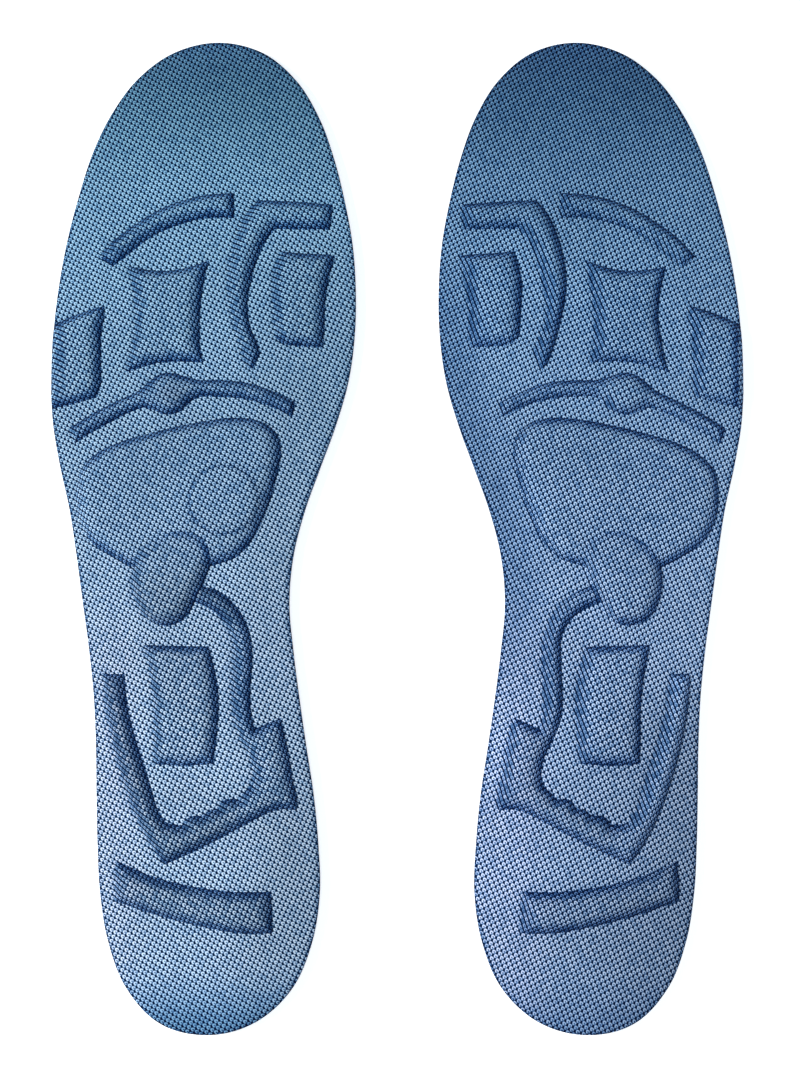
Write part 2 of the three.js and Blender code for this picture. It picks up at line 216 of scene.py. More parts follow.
def blur(f, sigma):
    """Gaussian blur of a 2-D array, sigma in cells."""
    if sigma <= 0:
        return f
    r = int(math.ceil(3 * sigma))
    k = np.exp(-0.5 * (np.arange(-r, r + 1) / sigma) ** 2)
    k /= k.sum()
    for axis in (0, 1):
        padded = np.pad(f, [(r, r) if i == axis else (0, 0) for i in range(2)], mode="edge")
        acc = np.zeros_like(f)
        for i, w in enumerate(k):
            sl = [slice(None), slice(None)]
            sl[axis] = slice(i, i + f.shape[axis])
            acc += w * padded[tuple(sl)]
        f = acc
    return f


# ---------------------------------------------------------------- fields on a fine raster
CELL = 0.25
X0, X1, Y0, Y1 = -44.0, 44.0, -131.0, 142.5
GX = np.arange(X0, X1, CELL)
GY = np.arange(Y0, Y1, CELL)
OUT = counter_clockwise(smooth_closed(OUTLINE, 0.7, 90))
LOOPS = {n: counter_clockwise(smooth_closed(p, 0.5)) for n, p in ZONES.items()}
# the lateral pad runs out over the insole's own edge
_lat = [(-46.0, 55.9)] + list(ZONES["lateral_forefoot_pad"][1:-2]) + [(-46.0, 33.6)]
LOOPS["lateral_forefoot_pad_wide"] = counter_clockwise(smooth_closed(_lat, 0.5))


def raster_distance(loop, margin=3.0):
    """Signed distance on the raster, exact near the loop and a plain negative number far from it."""
    f = np.full((len(GY), len(GX)), -margin, np.float32)
    lo, hi = loop.min(0) - margin, loop.max(0) + margin
    ix = np.where((GX >= lo[0]) & (GX <= hi[0]))[0]
    iy = np.where((GY >= lo[1]) & (GY <= hi[1]))[0]
    gx, gy = np.meshgrid(GX[ix], GY[iy])
    d = signed_distance(loop, np.c_[gx.ravel(), gy.ravel()]).reshape(gx.shape)
    f[np.ix_(iy, ix)] = d
    return f


DIST = {n: raster_distance(l) for n, l in LOOPS.items()}
RIM = raster_distance(OUT)


def wall(d, width=WALL):
    """Rounded wall: steep and crisp at its foot, easing into the flat top."""
    t = np.clip(d / width, 0, 1)
    return 1 - (1 - t) ** 1.9


def groove(d):
    return GROOVE * np.exp(-((d + 0.22) / 0.42) ** 2)


def relief_from(dist, inset=0.0, extra=0.0, pinch=1.0):
    """Height of the cover above its flat level. dist gives each pad's signed distance, inset moves its outline in."""
    r, deepest = 0.0, -3.0
    for name in ZONES:
        d = dist["lateral_forefoot_pad_wide" if name == "lateral_forefoot_pad" else name] - inset
        top = RISE + extra + CROWN * (1 - np.exp(-np.clip(d - 1.2, 0, None) / 4.0))
        if name == BUTTON:
            top = top + BUTTON_RISE
            s = wall(d, WALL + 0.4)
        else:
            s = wall(d)
        r = r + (top - r) * s - pinch * groove(d)
        deepest = np.maximum(deepest, d)
    return r, deepest


def relief(inset=0.0, extra=0.0, pinch=1.0):
    r, deepest = relief_from({n: f.astype(np.float64) for n, f in DIST.items()}, inset, extra, pinch)
    soft = blur(r, 1.6)
    m = smoothstep(0.5, 1.8, deepest)
    return r * (1 - m) + soft * m, soft


RNG = np.random.default_rng(7)


def slow_noise(scale, seed):
    """Smooth noise of about unit size on the raster, from a few plane waves."""
    rng = np.random.default_rng(seed)
    gx, gy = np.meshgrid(GX, GY)
    f = np.zeros(gx.shape)
    for _ in range(14):
        a, k, p = rng.uniform(0, 2 * math.pi), 2 * math.pi / (scale * rng.uniform(0.7, 1.6)), rng.uniform(0, 6.28)
        f += np.sin(k * (gx * math.cos(a) + gy * math.sin(a)) + p)
    return f / math.sqrt(7.0)


RELIEF, RELIEF_SOFT = relief()
RELIEF_UNDER = np.clip(relief(0.35, 0.0, 0.0)[0], 0, None)
RELIEF_PAD = np.clip(relief(0.45, -0.05, 0.0)[0], 0, None)
UNDULATION = 0.035 * slow_noise(16, 3) + 0.02 * slow_noise(7, 5)


def flatten(h):
    """Displacement (u, v) that lays the cloth over h with as little strain as a smooth map can."""
    hy, hx = np.gradient(blur(h, 1.0), CELL)
    g2 = hx * hx + hy * hy
    q = np.where(g2 > 1e-9, (np.sqrt(1 + g2) - 1) / np.maximum(g2, 1e-9), 0.5)
    txx, txy, tyy = q * hx * hx, q * hx * hy, q * hy * hy
    ny, nx = h.shape
    py, px = 128, 128
    pad = lambda f: np.pad(f, ((0, py), (0, px)))
    ky = 2 * math.pi * np.fft.fftfreq(ny + py, CELL)[:, None]
    kx = 2 * math.pi * np.fft.fftfreq(nx + px, CELL)[None, :]
    k2 = kx * kx + ky * ky
    k2[0, 0] = 1
    F = np.fft.fft2
    a, b, c = F(pad(txx)), F(pad(txy)), F(pad(tyy))
    u = np.fft.ifft2(-1j * (kx * a + ky * b) / k2).real[:ny, :nx]
    v = np.fft.ifft2(-1j * (kx * b + ky * c) / k2).real[:ny, :nx]
    return u, v


FLAT_U, FLAT_V = flatten(RELIEF)
# lattice of the knit: two families of rows, in cycles per millimetre
A1, P1 = math.radians(60.5), 1.175
A2, P2 = math.radians(-24.0), 1.138
# the knit lies a little looser towards the toe
LOOSER_MAP = np.repeat(np.cumsum(smoothstep(15, 105, GY))[:, None] * CELL, len(GX), axis=1)
WAVE_A = 0.05 * slow_noise(85, 11)
WAVE_B = 0.05 * slow_noise(95, 12)


def sample(f, xy):
    gx = np.clip((xy[:, 0] - X0) / CELL, 0, len(GX) - 1.001)
    gy = np.clip((xy[:, 1] - Y0) / CELL, 0, len(GY) - 1.001)
    i, j = gx.astype(int), gy.astype(int)
    u, v = gx - i, gy - j
    return ((1 - v) * ((1 - u) * f[j, i] + u * f[j, i + 1]) + v * ((1 - u) * f[j + 1, i] + u * f[j + 1, i + 1]))


def lattice(xy, side):
    """Position on the knit, in stitches. Both covers are cut from the same cloth: the right one lies turned by 38 degrees."""
    x = (xy[:, 0] + sample(FLAT_U, xy)) * -side
    y = xy[:, 1] + sample(FLAT_V, xy)
    turn = 0.0 if side < 0 else math.radians(-37.5)
    a1, a2 = A1 + turn, A2 + turn
    size = 1.0 if side < 0 else 1.012
    loose = 0.07 * sample(LOOSER_MAP, xy)
    a = (x * math.cos(a1) + (y - loose) * math.sin(a1)) / (P1 * size) + sample(WAVE_A, xy)
    b = (x * math.cos(a2) + (y - 0.3 * loose) * math.sin(a2)) / (P2 * size) + sample(WAVE_B, xy)
    return np.c_[a, b]


# ---------------------------------------------------------------- surfaces inside a loop
def contour(field):
    """The longest closed line where the raster field crosses zero, counter-clockwise round its inside."""
    pos = field > 0
    mixed = pos[:-1, :-1].astype(int) + pos[1:, :-1] + pos[:-1, 1:] + pos[1:, 1:]
    cells = np.argwhere((mixed > 0) & (mixed < 4))
    follow = {}

    def key(p, q):
        return (p, q) if p < q else (q, p)

    for j, i in cells:
        ring = [(i, j), (i + 1, j), (i + 1, j + 1), (i, j + 1)]
        leave, enter = [], []
        for e in range(4):
            p, q = ring[e], ring[(e + 1) % 4]
            vp, vq = pos[p[1], p[0]], pos[q[1], q[0]]
            if vp and not vq:
                leave.append((p, q))
            if not vp and vq:
                enter.append((p, q))
        for n, (p, q) in enumerate(leave):
            fp, fq = field[p[1], p[0]], field[q[1], q[0]]
            t = fp / (fp - fq)
            at = (X0 + (p[0] + t * (q[0] - p[0])) * CELL, Y0 + (p[1] + t * (q[1] - p[1])) * CELL)
            follow[key(p, q)] = (key(*enter[n % len(enter)]), at)
    best = []
    while follow:
        k = next(iter(follow))
        loop = []
        while k in follow:
            k2, at = follow.pop(k)
            loop.append(at)
            k = k2
        if len(loop) > len(best):
            best = loop
    return counter_clockwise(np.array(best))


def fill_loop(loop, step, creases=()):
    """Points and triangles that fill the counter-clockwise loop: an even grid inside, stitched to the loop's own points.
    The loop's points come first. Grid points near a crease line are moved onto it."""
    lo, hi = loop.min(0), loop.max(0)
    gx = np.arange(lo[0] - step, hi[0] + 2 * step, step)
    gy = np.arange(lo[1] - step, hi[1] + 2 * step, step)
    mx, my = np.meshgrid(gx, gy)
    pts = np.c_[mx.ravel(), my.ravel()]
    dist = signed_distance(loop, pts).reshape(mx.shape)
    keep = dist > 0.62 * step
    quads = keep[:-1, :-1] & keep[1:, :-1] & keep[:-1, 1:] & keep[1:, 1:]
    used = np.zeros_like(keep)
    used[:-1, :-1] |= quads
    used[1:, :-1] |= quads
    used[:-1, 1:] |= quads
    used[1:, 1:] |= quads
    index = np.full(keep.shape, -1)
    n_loop = len(loop)
    index[used] = n_loop + np.arange(used.sum())
    grid = pts.reshape(mx.shape + (2,))[used]
    far = dist[used] > 1.6 * step
    for crease in creases:
        d = sample(crease, grid)
        near = far & (np.abs(d) < 0.52 * step)
        if near.any():
            e = 0.2
            p = grid[near]
            gxx = (sample(crease, p + (e, 0)) - sample(crease, p - (e, 0))) / (2 * e)
            gyy = (sample(crease, p + (0, e)) - sample(crease, p - (0, e))) / (2 * e)
            g = np.maximum(np.hypot(gxx, gyy), 0.5)
            grid[near] = p - (d[near] / g)[:, None] * np.c_[gxx, gyy] / g[:, None]
    j, i = np.nonzero(quads)
    a, b, c, d = index[j, i], index[j, i + 1], index[j + 1, i + 1], index[j + 1, i]
    flip = ((i + j) % 2).astype(bool)
    tris = [np.c_[np.where(flip, a, a), b, np.where(flip, d, c)], np.c_[np.where(flip, b, a), c, d]]
    # stitch the staircase edge of the grid to the loop
    edges = {}
    for row in (np.c_[a, b], np.c_[b, c], np.c_[c, d], np.c_[d, a]):
        for p, q in row.tolist():
            k = (p, q) if p < q else (q, p)
            edges[k] = edges.get(k, 0) + 1
    border = [k for k, n in edges.items() if n == 1]
    ids = sorted({p for k in border for p in k})
    local = {p: n_loop + n for n, p in enumerate(ids)}
    coords = [Vector(p) for p in loop.tolist()] + [Vector(grid[p - n_loop].tolist()) for p in ids]
    lines = [(n, (n + 1) % n_loop) for n in range(n_loop)] + [(local[p], local[q]) for p, q in border]
    verts, _, faces, orig, _, _ = delaunay_2d_cdt(coords, lines, [], 0, 1e-7)
    back = {}
    for n, o in enumerate(orig):
        back[n] = o[0] if o else None
    vx = np.array([(v.x, v.y) for v in verts])
    tri = np.array([f[:] for f in faces if len(f) == 3])
    centre = vx[tri].mean(1)
    inside = signed_distance(loop, centre) > 0
    ci = ((centre[:, 0] - gx[0]) / step).astype(int)
    cj = ((centre[:, 1] - gy[0]) / step).astype(int)
    ci, cj = np.clip(ci, 0, quads.shape[1] - 1), np.clip(cj, 0, quads.shape[0] - 1)
    strip = tri[inside & ~quads[cj, ci]]
    to_index = np.array([back[n] if back[n] is not None else -1 for n in range(len(verts))])
    real = np.array(list(range(n_loop)) + ids)
    extra = []
    for t in strip:
        k = to_index[t]
        if (k < 0).any():
            continue
        p = vx[t]
        cross = (p[1][0] - p[0][0]) * (p[2][1] - p[0][1]) - (p[1][1] - p[0][1]) * (p[2][0] - p[0][0])
        if abs(cross) < 1e-9:
            continue
        extra.append(real[k] if cross > 0 else real[k[::-1]])
    tris.append(np.array(extra, int).reshape(-1, 3))
    return np.vstack([loop, grid]), np.vstack(tris)


# the whole insole is a little thicker in the middle than at its rim
PILLOW = blur(0.30 - 1.25 * (1 - np.clip(RIM / 27.0, 0, 1).astype(np.float64)) ** 2, 6)


def place(xy, z, side):
    """Local millimetres to metres in the row frame. side is -1 for the left insole and +1 for the right."""
    z = z + sample(PILLOW, xy) * np.clip((z - BACKING_TOP) / (BASE_TOP + COVER - BACKING_TOP), 0, 1)
    return np.c_[-side * (xy[:, 0] - HALF_SPACING), xy[:, 1] + Y_SHIFT, z] * MM


def make_object(name, co, faces, side, uv=None, material=None, smooth=True, sharp_angle=None):
    """faces is a list of integer arrays, triangles or quads, wound for the left insole."""
    me = bpy.data.meshes.new(name)
    polys = []
    for f in faces:
        f = f if side < 0 else f[:, ::-1]
        polys.append(f)
    sizes = np.concatenate([np.full(len(f), f.shape[1]) for f in polys])
    flat = np.concatenate([f.ravel() for f in polys]).astype(np.int32)
    me.vertices.add(len(co))
    me.vertices.foreach_set("co", co.astype(np.float32).ravel())
    me.loops.add(len(flat))
    me.loops.foreach_set("vertex_index", flat)
    me.polygons.add(len(sizes))
    starts = np.r_[0, np.cumsum(sizes)[:-1]].astype(np.int32)
    me.polygons.foreach_set("loop_start", starts)
    me.polygons.foreach_set("use_smooth", np.full(len(sizes), smooth))
    me.update(calc_edges=True)
    me.validate()
    rest = me.attributes.new("rest", "FLOAT_VECTOR", "POINT")
    rest.data.foreach_set("vector", (co / MM).astype(np.float32).ravel())
    if uv is not None:
        layer = me.uv_layers.new(name="weave")
        vi = np.zeros(len(me.loops), np.int32)
        me.loops.foreach_get("vertex_index", vi)
        layer.data.foreach_set("uv", uv[vi].astype(np.float32).ravel())
    if sharp_angle:
        me.set_sharp_from_angle(angle=math.radians(sharp_angle))
    ob = bpy.data.objects.new(name, me)
    bpy.context.scene.collection.objects.link(ob)
    if material:
        me.materials.append(material)
    return ob


def rings(loops_xyz):
    """Stacks rings of equal length, lowest first. Returns the points and the side quads."""
    n = len(loops_xyz[0])
    co = np.vstack(loops_xyz)
    i = np.arange(n)
    j = (i + 1) % n
    quads = []
    for r in range(len(loops_xyz) - 1):
        a = r * n
        quads.append(np.c_[a + i, a + j, a + n + j, a + n + i])
    return co, np.vstack(quads)


# ---------------------------------------------------------------- the cover
def cover_top(xy):
    d = sample(RIM, xy)
    r, deepest = relief_from({n: sample(f, xy) for n, f in DIST.items()})
    m = smoothstep(0.5, 1.8, deepest)
    r = r * (1 - m) + sample(RELIEF_SOFT, xy) * m
    quiet = smoothstep(1.0, 6.0, d)
    z = BASE_TOP + COVER + r + sample(UNDULATION, xy) * quiet
    # die-cut edge: the cloth is pressed thin and rolls down over the last 2 mm
    drop = 0.46 * np.clip(1 - d / 1.9, 0, 1) ** 2.2
    over = np.clip(z - (BASE_TOP + COVER), 0, None)
    return z - drop - over * (0.72 * np.clip(1 - d / 3.4, 0, 1) ** 1.8)


def thin_out(groups):
    """Keeps points in order of priority, each at least its group's distance from every point kept before."""
    size = 0.5
    grid, kept = {}, []
    for pts, gap in groups:
        g2, reach = gap * gap, int(math.ceil(gap / size))
        for x, y in pts.tolist():
            i, j = int(x // size), int(y // size)
            clear = True
            for u in range(i - reach, i + reach + 1):
                for v in range(j - reach, j + reach + 1):
                    for px, py in grid.get((u, v), ()):
                        if (px - x) ** 2 + (py - y) ** 2 < g2:
                            clear = False
                            break
                    if not clear:
                        break
                if not clear:
                    break
            if clear:
                grid.setdefault((i, j), []).append((x, y))
                kept.append((x, y))
    return np.array(kept)


def level_points(field, level):
    """Points where the raster field crosses the level, along its grid lines."""
    f = field.astype(np.float64) - level
    out = []
    j, i = np.nonzero((f[:, :-1] > 0) != (f[:, 1:] > 0))
    t = f[j, i] / (f[j, i] - f[j, i + 1])
    out.append(np.c_[X0 + (i + t) * CELL, Y0 + j * CELL])
    j, i = np.nonzero((f[:-1, :] > 0) != (f[1:, :] > 0))
    t = f[j, i] / (f[j, i] - f[j + 1, i])
    out.append(np.c_[X0 + i * CELL, Y0 + (j + t) * CELL])
    return np.vstack(out)


def triangulate(loop, pts):
    """Triangles over the loop and the points inside it, none outside the loop."""
    n = len(loop)
    allp = np.vstack([loop, pts])
    lines = [(k, (k + 1) % n) for k in range(n)]
    verts, _, faces, orig, _, _ = delaunay_2d_cdt([Vector(p) for p in allp.tolist()], lines, [], 0, 1e-7)
    vx = np.array([(v.x, v.y) for v in verts])
    back = np.array([o[0] if o else -1 for o in orig])
    tri = np.array([f[:] for f in faces if len(f) == 3])
    tri = tri[(back[tri] >= 0).all(1)]
    p = vx[tri]
    inside = signed_distance(loop, p.mean(1)) > 0
    tri, p = tri[inside], p[inside]
    cross = ((p[:, 1, 0] - p[:, 0, 0]) * (p[:, 2, 1] - p[:, 0, 1])
             - (p[:, 1, 1] - p[:, 0, 1]) * (p[:, 2, 0] - p[:, 0, 0]))
    tri, cross = tri[np.abs(cross) > 1e-6], cross[np.abs(cross) > 1e-6]
    tri = np.where((cross > 0)[:, None], tri, tri[:, ::-1])
    return allp, back[tri]


_t = np.linspace(0, 2 * math.pi, 97)[:-1]
DISC = np.c_[np.cos(_t), np.sin(_t)]
DISC_AT, DISC_RADIUS = np.array([6.4, 9.6]), 8.9


def cover_plan():
    """The cover's plan mesh: rows of points follow the foot of every wall and the rim, with a plain grid between."""
    loop = resample(OUT, 0.7)
    groups = [(loop, 0.0)]
    feet = [resample(l, 0.42) for n, l in LOOPS.items() if n != "lateral_forefoot_pad"]
    fields = [DIST[n] for n in LOOPS if n != "lateral_forefoot_pad"]
    groups.append((np.vstack(feet), 0.2))
    groups.append((np.vstack([resample(DISC * r + DISC_AT, 0.42) for r in (DISC_RADIUS - 0.32, DISC_RADIUS, DISC_RADIUS + 0.32)]), 0.2))
    for level, gap in ((-0.14, 0.13), (0.25, 0.22), (-0.42, 0.26), (0.55, 0.3), (-0.85, 0.38), (0.95, 0.36),
                       (1.45, 0.42), (2.05, 0.5), (2.8, 0.55)):
        groups.append((np.vstack([level_points(f, level) for f in fields]), gap))
    for level, gap in ((0.35, 0.3), (0.8, 0.4), (1.35, 0.45), (2.0, 0.55)):
        groups.append((level_points(RIM, level), gap))
    a = 0.86
    gx = np.arange(X0, X1, a)
    gy = np.arange(Y0, Y1, a * 0.866)
    mx, my = np.meshgrid(gx, gy)
    mx = mx + (np.arange(len(gy)) % 2)[:, None] * a / 2
    groups.append((np.c_[mx.ravel(), my.ravel()], 0.6))
    n = len(loop)
    inner = [(groups[0][0], 0.0)]
    for pts, gap in groups[1:]:
        d = sample(RIM, np.clip(pts, (X0, Y0), (X1 - CELL, Y1 - CELL)))
        inner.append((pts[d > 0.22], gap))
    kept = thin_out(inner)
    return triangulate(loop, kept[n:])


TOP_XY, TOP_TRI = cover_plan()
TOP_Z = cover_top(TOP_XY)
COVER_LOOP = resample(OUT, 0.7)
LOW_XY, LOW_TRI = fill_loop(COVER_LOOP, 1.1)


# how much more the knit is drawn over these pads than over the plain ones; the darker tone this gives the heel's bars
# is partly painted shade
PAD_TIGHT_AND_SHADE = {"heel_crescent_pad": 2.5, FRAME_PAD: 2.6, "heel_center_pad": 1.6, BUTTON: 1.4}


def cover_cloth(side):
    """Per point, from 0 to 1: how far the knit is stretched over a wall, with painted shade on the walls facing away
    from the lamp; a painted shade line at the foot of each wall, strongest on the side away from the lamp; how near the
    rim it is, whether it lies on a pad, with painted shade on the heel's bars, and how far its rows are drawn out into
    slanted lines."""
    drawn = np.zeros(len(TOP_XY))
    stretch_and_shade = np.zeros(len(TOP_XY))
    on_pad = np.zeros(len(TOP_XY))
    crease_shade = np.zeros(len(TOP_XY))
    free = 1 - smoothstep(0.0, 0.6, sample(DIST[BUTTON], TOP_XY))
    for n in LOOPS:
        d = sample(DIST[n], TOP_XY)
        tight_and_shade = 1 + (PAD_TIGHT_AND_SHADE.get(n, 1.0) - 1) * (1.0 if side < 0 else 0.25)
        on_pad = np.maximum(on_pad, tight_and_shade * smoothstep(0.0, 1.2, d) * (1 if n == BUTTON else free))
        # painted shade: a dark line at the foot of each wall, in the crease
        line = smoothstep(-0.13, -0.02, d) * np.exp(-(np.clip(d, 0, None) / 0.55) ** 2)
        taut_and_shade = smoothstep(-0.13, -0.02, d) * (1 - smoothstep(0.4, 2.9, d))
        # the outward direction of this pad's wall, in the direction of the row
        ox = -(sample(DIST[n], TOP_XY + (0.3, 0)) - sample(DIST[n], TOP_XY - (0.3, 0))) / 0.6 * -side
        # painted shade: walls facing away from the lamp, and on the left insole also the toe- and heel-facing walls,
        # get the dark wall tone and the full crease line
        away = smoothstep(-0.75, 0.05, ox)
        oy = -(sample(DIST[n], TOP_XY + (0, 0.3)) - sample(DIST[n], TOP_XY - (0, 0.3))) / 0.6
        if n == BUTTON:
            away = away * (1 - 0.6 * smoothstep(0.2, 0.9, oy))
        elif side < 0:
            away = np.maximum(away, 0.85 * smoothstep(0.45, 0.85, np.abs(oy)))
        else:
            away = away * (1 - 0.45 * smoothstep(0.2, 0.9, -oy) * smoothstep(-20, 20, TOP_XY[:, 1]))
            away = np.maximum(away, 0.7 * smoothstep(0.45, 0.85, -oy) * smoothstep(0, -30, TOP_XY[:, 1]))
        taut_and_shade = taut_and_shade * (1 if n == BUTTON else free) * (0.12 + 0.88 * away)
        if n == FRAME_PAD and side > 0:
            taut_and_shade = taut_and_shade * (1 - 0.4 * smoothstep(-5, -12, TOP_XY[:, 0]))
        stretch_and_shade = np.maximum(stretch_and_shade, taut_and_shade)
        least = 0.15 if side < 0 else {DOME: 0.95, BUTTON: 0.15}.get(n, 0.40)
        line = line * (least + (1 - least) * away)
        open_side = smoothstep(-0.9, -0.1, d) * (1 - smoothstep(1.8, 3.4, d)) * smoothstep(-0.4, -0.85, ox)
        drawn = np.maximum(drawn, open_side * {BUTTON: 1.0 if side < 0 else 0.45, DOME: 0.35 * free}.get(n, free))
        crease_shade = np.maximum(crease_shade, line if n == BUTTON else line * free)
    rim = np.clip(1 - sample(RIM, TOP_XY) / 1.1, 0, 1)
    return stretch_and_shade, np.clip(crease_shade, 0, 1), rim, on_pad, drawn


PAD_TONE_AND_SHADE = {"heel_crescent_pad": 0.05, FRAME_PAD: 0.05, "heel_center_pad": 0.04, BUTTON: 0.04}


def cloth_tone_and_shade(xy, side):
    """The cloth's colour, as a factor on red, green and blue: deeper and bluer towards the toe, deeper at the heel's
    end. Much of it is painted shade: darker towards the toe, at the heel's end, on the side away from the lamp and on
    the heel's bars, with painted light on the side nearer the lamp.
    """
    toe = 139.0 - xy[:, 1]
    heel = xy[:, 1] + 127.5
    # painted shade: darker and less red towards the toe, darkest at its tip, and darker at the heel's end
    g = 0.84 + 0.16 * smoothstep(100, 200, toe)
    g = g - 0.45 * smoothstep(50, 0, toe)
    g = g * (1 - (0.54 if side < 0 else 0.30) * np.exp(-(heel / 10.0) ** 2))
    r = 0.64 + 0.36 * np.clip(toe / 170.0, 0, 1) - 0.09 * smoothstep(50, 10, toe)
    b = 1.0 + 0.06 * smoothstep(190, 60, toe) + 0.26 * np.exp(-np.clip(toe, 0, None) / 14.0)
    end = np.exp(-(heel / 10.0) ** 2)
    # cloth drawn over the heel's bars shows more of its navy ground, and the bars' darker tone is partly painted shade
    for name, depth in PAD_TONE_AND_SHADE.items():
        on = smoothstep(-0.2, 1.6, sample(DIST[name], xy))
        if name == FRAME_PAD:
            on = on * (1 - smoothstep(0.0, 0.6, sample(DIST[BUTTON], xy)))
            # the frame's inner half is the lighter one on the left, its outer arm on the right
            fore = smoothstep(-54, -42, xy[:, 1])
            if side < 0:
                depth = 0.15 - (0.29 + 0.13 * fore) * smoothstep(7, 13, xy[:, 0])
            else:
                arm = smoothstep(0, -8, xy[:, 0])
                depth = 0.09 - 0.23 * arm - 0.20 * arm * smoothstep(-77, -68, xy[:, 1]) - 0.13 * fore * (1 - arm)
        if name == "heel_center_pad" and side > 0:
            depth = -0.06
        # painted shade: the left button darker towards its heel end
        if name == BUTTON and side < 0:
            depth = depth + 0.12 * smoothstep(-8, -15, xy[:, 1])
        g = g * (1 - depth * on)
    g, r, b = 0.93 * g, 0.95 * r, 1.035 * b
    if side > 0:
        medial = smoothstep(15, 2, sample(RIM, xy)) * smoothstep(2, 12, xy[:, 0]) * smoothstep(50, 85, toe)
        medial = medial * smoothstep(185, 148, toe)
        # painted shade: the right insole darker towards the toe and towards the heel, darker at the heel's end, and
        # lighter towards the lamp in the rearfoot
        g = 0.96 * g * (1 - 0.25 * smoothstep(85, 25, toe)) * (1 - 0.16 * smoothstep(150, 205, toe))
        g, r, b = g * (1 - 0.33 * medial), r * (1 - 0.12 * medial), b * (1 + 0.12 * medial)
        g = g * (1 - 0.13 * smoothstep(225, 246, toe))
        g = g * (1 + 0.22 * np.clip(xy[:, 0] / 22.0, -1, 1) * smoothstep(165, 200, toe))
        b = b * (1.08 + 0.09 * smoothstep(60, 10, toe))
    else:
        # painted shade: the left insole darker on its side away from the lamp, in the rearfoot and in the forefoot
        g = g * (1 - 0.13 * smoothstep(6, 26, xy[:, 0]) * smoothstep(180, 215, toe))
        g = g * (1 - 0.10 * smoothstep(6, 26, xy[:, 0]) * smoothstep(45, 70, toe))
        dome = smoothstep(-0.2, 1.6, sample(DIST[DOME], xy))
        g, r, b = g * (1 - 0.05 * dome), r * (1 - 0.03 * dome), b * (1 + 0.03 * dome)
        knob = np.exp(-((xy[:, 0] + 7.8) / 4.6) ** 2 - ((xy[:, 1] - 38.5) / 3.4) ** 2)
        g, b = g * (1 - 0.36 * knob), b * (1 + 0.08 * knob)
        g = g * (1 - 0.10 * np.exp(-((xy[:, 0] + 2.5) / 9.0) ** 2 - ((xy[:, 1] + 67.0) / 5.0) ** 2))
    # painted light: the rearfoot's side nearer the lamp is lighter and warmer
    lit_side = smoothstep(8, 22, xy[:, 0] * side) * smoothstep(140, 185, toe)
    g, r = g * (1 + 0.05 * lit_side), r * (1 + 0.09 * lit_side)
    return np.c_[g * r * (1 - (0.4 if side < 0 else 0.15) * end), g, g * b * (1 + (0.30 if side < 0 else 0.15) * end)]


def build_cover(label, side, material, ring):
    top_xy, top_tri, z_top = TOP_XY, TOP_TRI, TOP_Z.copy()
    low_xy, low_tri = LOW_XY, LOW_TRI
    if ring:
        # a thin disc under the cover, felt as a faint step near the middle of the dome
        c = np.hypot(top_xy[:, 0] - DISC_AT[0], top_xy[:, 1] - DISC_AT[1])
        z_top = z_top + 0.18 * smoothstep(0.32, -0.32, c - DISC_RADIUS) - 0.08 * np.exp(-((c - DISC_RADIUS - 0.2) / 0.3) ** 2)
    z_low = BASE_TOP + 0.01 + sample(RELIEF_UNDER, low_xy)
    n = len(COVER_LOOP)
    z_low = np.minimum(z_low, BASE_TOP + 0.01 + (cover_top(low_xy) - BASE_TOP - 0.5).clip(0.0))
    z_low[:n] = BASE_TOP + 0.01
    co_top = place(top_xy, z_top, side)
    co_low = place(low_xy, z_low, side)
    mid = offset_loop(COVER_LOOP, -0.06)
    co_mid = place(mid, 0.45 * z_top[:n] + 0.55 * z_low[:n], side)
    co = np.vstack([co_top, co_low, co_mid])
    nt, nl = len(co_top), len(co_low)
    i = np.arange(n)
    j = (i + 1) % n
    m0, l0 = nt + nl, nt
    # seen from outside, the loop runs counter-clockwise from above
    wall_a = np.c_[l0 + i, l0 + j, m0 + j, m0 + i]
    wall_b = np.c_[m0 + i, m0 + j, j, i]
    uv = np.vstack([lattice(top_xy, side), lattice(low_xy, side), lattice(mid, side) + (0.35, 0.35)])
    tone_and_shade = np.vstack([cloth_tone_and_shade(top_xy, side), cloth_tone_and_shade(low_xy, side), cloth_tone_and_shade(mid, side)])
    ob = make_object(f"{label}_mesh_cover", co, [top_tri, low_tri[:, ::-1] + nt, wall_a, wall_b], side, uv, material)
    cloth = list(cover_cloth(side))
    if ring:
        # painted shade: a dark line along the disc's edge, where its small step lies
        line = np.exp(-((c - DISC_RADIUS - 0.1) / 0.32) ** 2)
        cloth[0], cloth[1] = np.maximum(cloth[0], 0.25 * line), np.maximum(cloth[1], 0.6 * line)
    for name, values, rest in zip(("stretch_and_shade", "crease_shade", "rim", "on_pad", "drawn"), cloth, (0.0, 0.3, 1.0, 0.0, 0.0)):
        layer = ob.data.attributes.new(name, "FLOAT", "POINT")
        layer.data.foreach_set("value", np.r_[values, np.full(len(co) - nt, rest)].astype(np.float32))
    layer = ob.data.attributes.new("tone_and_shade", "FLOAT_VECTOR", "POINT")
    layer.data.foreach_set("vector", tone_and_shade.astype(np.float32).ravel())
    return ob


